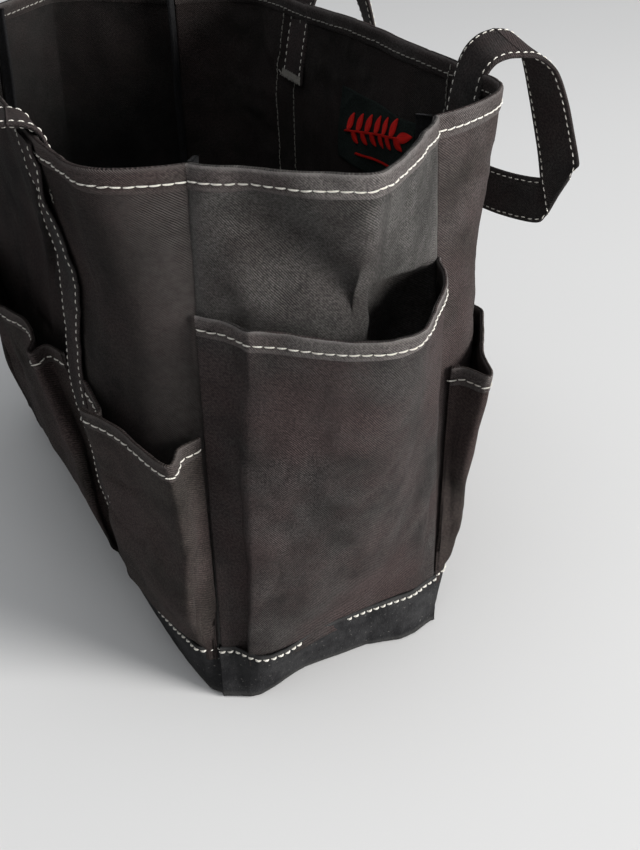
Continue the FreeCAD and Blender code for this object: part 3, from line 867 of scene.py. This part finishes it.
def add_bottom():
    """The canvas floor inside the bag, slightly rumpled, set below zero all over for painted shade."""
    x = np.linspace(-HALF_LENGTH + 3.2, HALF_LENGTH - 3.2, 120)[:, None]
    y = np.linspace(-BASE_HALF_DEPTH + 3.2, BASE_HALF_DEPTH - 3.2, 46)[None, :]
    x, y = np.broadcast_arrays(x, y)
    edge = smooth(np.minimum(HALF_LENGTH - 3 - abs(x), BASE_HALF_DEPTH - 3 - abs(y)), 0, 20)
    z = 4.2 + edge * (0.8 + 0.8 * wobble(x, y, 40, 71))
    sheet = Sheet(np.stack([x, y, z], axis=2))
    piece = cloth_piece("bottom_cloth", sheet, SIDE_CANVAS_PAINTED_LIGHT["left"], thick=1.4,
                        wear_and_shade=np.full(sheet.p.shape[:2], -1.0))
    ride(piece, "canvas", "bottom_panel")


# ---- straps, handles and bindings ----
def ribbon(centres, across, normals, thick):
    """Rings of a flat strap with soft edges; across is half its width as a vector."""
    k = np.linspace(0, 2 * math.pi, 28, endpoint=False)
    x = np.sign(np.cos(k)) * np.abs(np.cos(k)) ** 0.35
    y = np.sign(np.sin(k)) * np.abs(np.sin(k)) ** 0.8 * thick / 2
    y = y * (1 - 0.18 * np.cos(math.pi * x))
    return centres[:, None] + across[:, None] * x[None, :, None] + normals[:, None] * y[None, :, None]


def strap_rows(centres, across, normals, lift):
    """The two stitch rows on one face of a strap."""
    inset = 1 - 2.7 / (STRAP_WIDTH / 2)
    return [(centres + across * inset * k + normals * lift, normals) for k in (-1, 1)]


def add_outer_strap(side, sign):
    name = f"{side}_{'right' if sign > 0 else 'left'}_strap"
    direction, _ = SIDES[side]
    middle = sign * STRAP_X * direction[0]
    z = np.linspace(COVER_TOP - 8, RIM - HEM_HEIGHT + 5, 150)
    edges = [wall(side, np.full(150, middle + d), z, 1.4) for d in (-STRAP_WIDTH / 2, 0, STRAP_WIDTH / 2)]
    across = unit(edges[2] - edges[0])
    centres = edges[1] + 0.7 * (1 + wobble(z, 0 * z, 25, 81))[:, None] * SIDES[side][1]
    normals = unit(np.cross(across, np.gradient(centres, axis=0)))
    across = across * STRAP_WIDTH / 2
    piece = tube_piece(name + "_cloth", ribbon(centres, across, normals, 1.9), STRAP_CANVAS)
    ride(piece, "strap_canvas", name)
    ride(stitch_piece(name + "_stitches", strap_rows(centres, across, normals, 0.8),
                      THREAD, pitch=STRAP_PITCH, radius=0.34, fill=0.64, slant=4), "thread")
    inner = [(p - n * 3.9, -n) for p, n in strap_rows(centres, across, normals, 0.0)]
    ride(stitch_piece(name + "_stitches_inside", inner, DULL_THREAD, pitch=STRAP_PITCH,
                      radius=0.34), "thread")


# A handle's right half, from the sewn tail to the middle of the grip: points of its centre
# line, each followed by half the strap's width as a vector. The loop goes on from the
# tail's last point. The left half is the mirror image.
# At the lower corner the strap folds over a diagonal crease.
HANDLES = {
    "rear": {
        "shift": 9.5,
        "tail": [(100, 111.5, 246, 14, 0, 0), (100, 114.5, 264, 14, 0, 0),
                 (100, 118.0, 282, 14, 0, 0), (100, 121.0, 294, 14, 0, 0),
                 (100, 126.5, 302.8, 13.9, 0.5, -1.5), (100, 134.5, 307, 13.5, 1, -3.4),
                 (100, 144.0, 307.8, 13.1, 1.5, -4.8)],
        "loop": [(100, 153.0, 306, 13.1, 2, -4.8), (100.5, 161, 300, 13.3, 2.5, -3.8),
                 (101, 166, 291.5, 13.5, 3, -2), (102, 171.5, 275, 13.6, 3.5, 0),
                 (103, 176, 258, 13.5, 4, 0), (104, 179.6, 243, 13.2, 4, 2),
                 (104.6, 181.6, 231, 12.6, 3, 8.5), (103.8, 182.8, 222.5, 11, 1, 14.6),
                 (99.5, 183.6, 215.5, 8, 1, 15.4), (91, 181, 211.6, 2.6, 0.5, 14.4),
                 (79, 175, 210.5, 0, 0, 13.8), (60, 168.5, 210.5, 0, 0, 13.8),
                 (30, 164, 211, 0, 0, 13.8), (0, 162.5, 211, 0, 0, 13.8)],
        "folds": [((0, 118, 284), (0, 146, 310)), ((0, 146, 310), (0, 175, 290))]},
    "front": {
        "shift": 0.0,
        "tail": [(100, -98.5, 250, 14, 0, 0), (100, -101.4, 266, 14, 0, 0),
                 (100, -104.4, 284, 14, 0, 0), (99.6, -106.4, 294, 14, 0, 0),
                 (98.4, -108.6, 299.4, 14, -0.5, 0), (96, -112.5, 302, 13.8, -1.5, 0),
                 (92.5, -118.0, 302.6, 13.7, -3, 0)],
        "loop": [(89, -124.5, 300.8, 13.5, -4, 0), (86, -130, 295, 13.4, -4, 0),
                 (83.5, -133.5, 284, 13.4, -4, 0), (81.5, -136, 266, 13.5, -3.5, 0),
                 (80.5, -137.5, 243, 13.5, -3, 0), (80, -138, 224, 13, -2.5, 5),
                 (79.5, -138.6, 213, 11.5, -1.5, 13), (77, -139.8, 205.5, 9, -1, 16),
                 (71, -140.4, 200, 4, -0.5, 14.6), (60, -139.5, 198.5, 0.6, 0, 13.9),
                 (40, -137.5, 198, 0, 0, 13.8), (20, -136, 197.5, 0, 0, 13.8),
                 (0, -135.5, 197.5, 0, 0, 13.8)],
        "folds": [((0, -104, 290), (0, -118, 304)), ((0, -118, 304), (0, -132, 292))]},
}
HANDLE_THICK = 2.6
FLIP_X = np.array([-1.0, 1, 1])


def handle_part(name, points, widths, count, stands_for):
    """A length of handle with two rows of stitches through it, in place of the CAD parts it stands for,
    which are hidden.
    """
    places = even_places(points, count)
    centres, across = spline(points, places), spline(widths, places)
    normals = unit(np.cross(np.gradient(centres, axis=0), across))
    piece = tube_piece(name, ribbon(centres, across, normals, HANDLE_THICK), STRAP_CANVAS)
    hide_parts(*stands_for)
    rows = strap_rows(centres, across, normals, 1.25)
    rows += [(p, -n) for p, n in strap_rows(centres, across, normals, -1.25)]
    sewn = stitch_piece(name + "_stitches", rows, THREAD, pitch=HANDLE_PITCH, radius=0.33,
                        fill=0.70, slant=4)
    for part, slot in ((piece, "strap_canvas"), (sewn, "thread")):
        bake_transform(part)


def add_handle(side):
    h = HANDLES[side]
    shift = np.array([h["shift"], 0, 0])
    for sign, word in ((1, "right"), (-1, "left")):
        turn = np.array([sign, 1, 1])
        points, widths = (half * turn for half in np.split(np.array(h["tail"]), 2, axis=1))
        handle_part(f"{side}_{word}_handle_end", points + shift, widths, 80,
                    [f"{side}_{word}_handle_tail"])
        add_bar_tack(f"{side}_{word}_bar_tack", side, points[0] + shift)
    points, widths = np.split(np.array(h["tail"][-1:] + h["loop"]), 2, axis=1)
    points = np.concatenate([points, points[-2::-1] * FLIP_X]) + shift
    widths = np.concatenate([widths, widths[-2::-1] * FLIP_X])
    handle_part(f"{side}_handle_strap", points, widths, 460,
                [f"{side}_handle_bend", f"{side}_handle_loop"])


def capsules(segments, radius, sides=6):
    """Closed round strokes between pairs of points: vertices, faces and lengths along."""
    vertices, faces, uv = [], [], []
    for a, b in segments:
        axis = unit(b - a)
        e1 = unit(np.cross(axis, UP + 0.3 * axis[[1, 2, 0]]))
        e2 = np.cross(axis, e1)
        length = np.linalg.norm(b - a)
        base = len(vertices)
        for t, r in ((0, 0.35), (0.12, 0.9), (0.5, 1.0), (0.88, 0.9), (1, 0.35)):
            for k in range(sides):
                angle = 2 * math.pi * k / sides
                offset = (e1 * math.cos(angle) + e2 * math.sin(angle)) * radius * r
                vertices.append(a + (b - a) * t + offset)
                uv.append((length * t * MM, radius * angle * MM))
        faces += closed_tube(5, sides, base)
    return np.array(vertices), faces, uv


def add_bar_tack(name, side, foot):
    """Dense upright stitches across the lower end of a handle, inside the bag."""
    inward = -SIDES[side][1]
    segments = []
    for x in np.arange(-13.6, 13.7, 0.75):
        lean = RNG.normal(0, 0.35, 4)
        a = foot + inward * 1.5 + [x + lean[0], 0, 1.2 + lean[1]]
        b = foot + inward * 1.5 + [x + lean[2], SIDES[side][1][1] * 0.9, 6.2 + lean[3]]
        segments.append((a, b))
    for x, dx, dz in ((-14, -2.6, 2.0), (-13, -2.0, -1.2), (14, 1.8, -1.6)):
        segments.append((foot + inward * 1.8 + [x, 0, 3], foot + inward * 2.4 + [x + dx, 0, 3 + dz]))
    piece = new_mesh(name, *capsules(segments, 0.42), DULL_THREAD)
    ride(piece, "thread", "handle_bar_tacks")


# ---- label ----
LABEL_MIDDLE = (21.0, 236.0)
LABEL_HALF = (46.0, 22.0)


def on_label(a, b, lift=0.0):
    """A point over the label inside the rear wall, a to the right and b up as seen from inside."""
    z = np.asarray(LABEL_MIDDLE[1] + b, float)
    return wall("rear", np.asarray(-LABEL_MIDDLE[0] - a, float), z, np.full(z.shape, -2.6 - lift))


def leaf(a, b, length, width, degrees):
    """Satin strokes across a pointed leaf that starts at (a, b)."""
    c, s = math.cos(math.radians(degrees)), math.sin(math.radians(degrees))
    strokes = []
    for t in np.arange(0.06, 0.98, 0.62 / length):
        w = width / 2 * math.sin(math.pi * t ** 0.8) + 0.2
        strokes.append([(a + c * length * t - s * w * k, b + s * length * t + c * w * k)
                        for k in (-1, 1)])
    return strokes


def add_label():
    """A dark woven patch with an embroidered sprig of leaves."""
    a, b = np.meshgrid(np.linspace(-LABEL_HALF[0], LABEL_HALF[0], 70),
                       np.linspace(-LABEL_HALF[1], LABEL_HALF[1], 36), indexing="ij")
    points = on_label(-a, b, 0.5 + 0.15 * wobble(a, b, 9, 5))
    patch = Sheet(points[::-1])
    piece = cloth_piece("inside_label_patch", patch, LABEL_CLOTH, thick=0.8)
    ride(piece, "woven_label", "inside_label")
    strokes = []
    for k in range(6):
        place = -33 + 11.5 * k
        strokes += leaf(place, -6 + 0.20 * (place + 33), 14, 6.0, 62)
        strokes += leaf(place + 5, -6 + 0.20 * (place + 38), 12, 5.0, -28)
    strokes += leaf(33, 7, 13, 6, 15)
    strokes += [[(x, -7 + 0.2 * (x + 33)), (x + 1.6, -5.4 + 0.2 * (x + 33))]
                for x in np.arange(-37, 35, 0.9)]
    strokes += [[(x, -15.5 + 0.12 * x), (x + 1.2, -13.8 + 0.12 * x)] for x in np.arange(-20, 34, 0.9)]
    segments = [[on_label(np.array(p), np.array(q) + 4.0, 1.2) for p, q in ends] for ends in strokes]
    ride(new_mesh("inside_label_sprig", *capsules(segments, 0.42), RED_THREAD), "woven_label")


def add_bindings():
    corners = {"front_right": (1, -1), "rear_right": (1, 1), "rear_left": (-1, 1), "front_left": (-1, -1)}
    for name, (sx, sy) in corners.items():
        z = np.linspace(6, RIM - 3.2, 90)
        pulled = CORNER_PULL * (z / RIM) ** 2 if (sx, sy) == (1, 1) else 0 * z
        root = np.stack([sx * (HALF_LENGTH - 3.6) - pulled, sy * (half_depth(z) - 3.4), z], axis=1)
        inward = unit(np.array([-sx * 1.0, -sy * 0.9, 0.0]))
        lean = wobble(z, 0 * z, 40, 91) * 0.6
        centres = root + inward * 3.4 + np.array([sy, -sx, 0]) * lean[:, None]
        across = np.tile(inward * 4.0, (90, 1))
        normals = np.tile(unit(np.cross(inward, UP)), (90, 1))
        piece = tube_piece(name + "_binding_tape", ribbon(centres, across, normals, 2.6), TAPE)
        ride(piece, "binding_tape", name + "_seam_binding")


# ---- stage ----
def add_stage():
    bpy.ops.mesh.primitive_plane_add(size=60, location=(0, 0, -0.0002))
    floor = bpy.context.object
    floor.name = "studio_floor"
    floor.data.materials.append(floor_paint())


def add_area(name, position, target, size, power, tint=(1, 1, 1)):
    light = bpy.data.lights.new(name, "AREA")
    light.shape, light.size, light.energy, light.color = "DISK", size, power, tint
    lamp = bpy.data.objects.new(name, light)
    bpy.context.collection.objects.link(lamp)
    lamp.location = position
    lamp.rotation_euler = (Vector(target) - Vector(position)).to_track_quat("-Z", "Y").to_euler()


def add_lights():
    world = bpy.data.worlds.new("studio")
    world.use_nodes = True
    background = world.node_tree.nodes["Background"]
    background.inputs[0].default_value = (0.95, 0.975, 1.0, 1)
    background.inputs[1].default_value = 0.34
    bpy.context.scene.world = world
    bpy.context.scene.view_settings.view_transform = "Standard"
    add_area("window", (3.35, 2.75, 1.42), (0.1, 0, 0.17), 2.2, 345, (1.0, 0.985, 0.965))
    add_area("ceiling_bounce", (0.6, -0.2, 2.8), (0, 0, 0.1), 2.6, 17, (0.97, 0.985, 1.0))


CAMERA_PLACE = (0.6416, -0.2284, 0.4588)
CAMERA_AZIMUTH, CAMERA_ELEVATION, CAMERA_ROLL = 64.1, 30.8, -1.1
CAMERA_LENS = 50.68


def add_camera():
    a, e, r = (math.radians(x) for x in (CAMERA_AZIMUTH, CAMERA_ELEVATION, CAMERA_ROLL))
    forward = Vector((-math.sin(a) * math.cos(e), math.cos(a) * math.cos(e), -math.sin(e)))
    level = Vector((math.cos(a), math.sin(a), 0))
    above = level.cross(forward)
    right = level * math.cos(r) + above * math.sin(r)
    up = above * math.cos(r) - level * math.sin(r)
    data = bpy.data.cameras.new("camera")
    data.lens = CAMERA_LENS
    camera = bpy.data.objects.new("camera", data)
    bpy.context.collection.objects.link(camera)
    turn = Matrix((right, up, -forward)).transposed().to_4x4()
    camera.matrix_world = Matrix.Translation(CAMERA_PLACE) @ turn
    bpy.context.scene.camera = camera


# ---- the bag ----
add_camera()
add_lights()
add_stage()
for side, columns in (("front", 330), ("right", 150), ("rear", 330), ("left", 150)):
    add_wall(side, columns)
for name, (side, plan) in POCKETS.items():
    add_pocket(name, side, plan)
add_cover()
add_bottom()
for side in LONG:
    for sign in (-1, 1):
        add_outer_strap(side, sign)
    add_handle(side)
add_bindings()
add_label()
